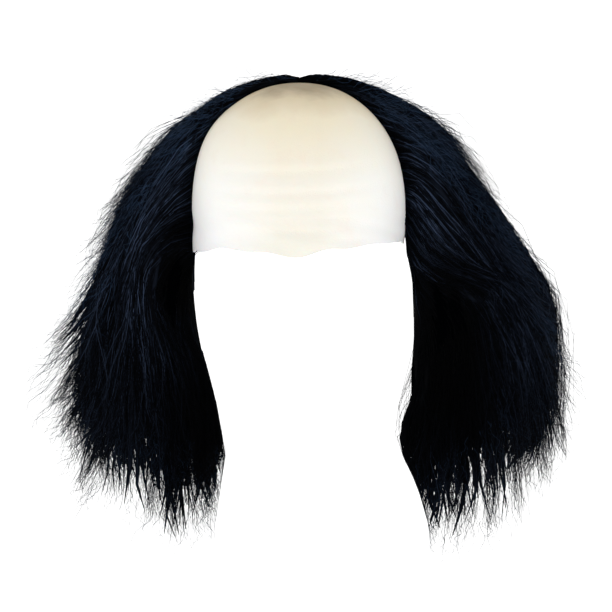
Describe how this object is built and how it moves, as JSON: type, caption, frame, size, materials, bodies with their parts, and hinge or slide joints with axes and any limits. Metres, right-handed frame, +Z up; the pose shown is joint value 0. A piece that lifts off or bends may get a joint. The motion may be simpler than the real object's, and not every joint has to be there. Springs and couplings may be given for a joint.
{
  "type": "bald cap wig with long side hair",
  "caption": "Costume bald cap: a thin pale latex dome, open below, with a mass of long frizzy black hair hanging from each side and the back.",
  "frame": {"origin": "the head's seat: the highest point inside the cap's crown", "axes": "+Z up, -Y the way the wearer faces, +X to the right as seen from the front"},
  "size_m": [0.3899, 0.2248, 0.3455],
  "materials": {
    "latex": "thin matte cream latex with faint forehead wrinkles",
    "hair": "long frizzy synthetic fibre, blue-black with a soft sheen"
  },
  "bodies": {
    "root": {"bald_cap": "latex", "hair_left": "hair", "hair_right": "hair"}
  },
  "joints": []
}
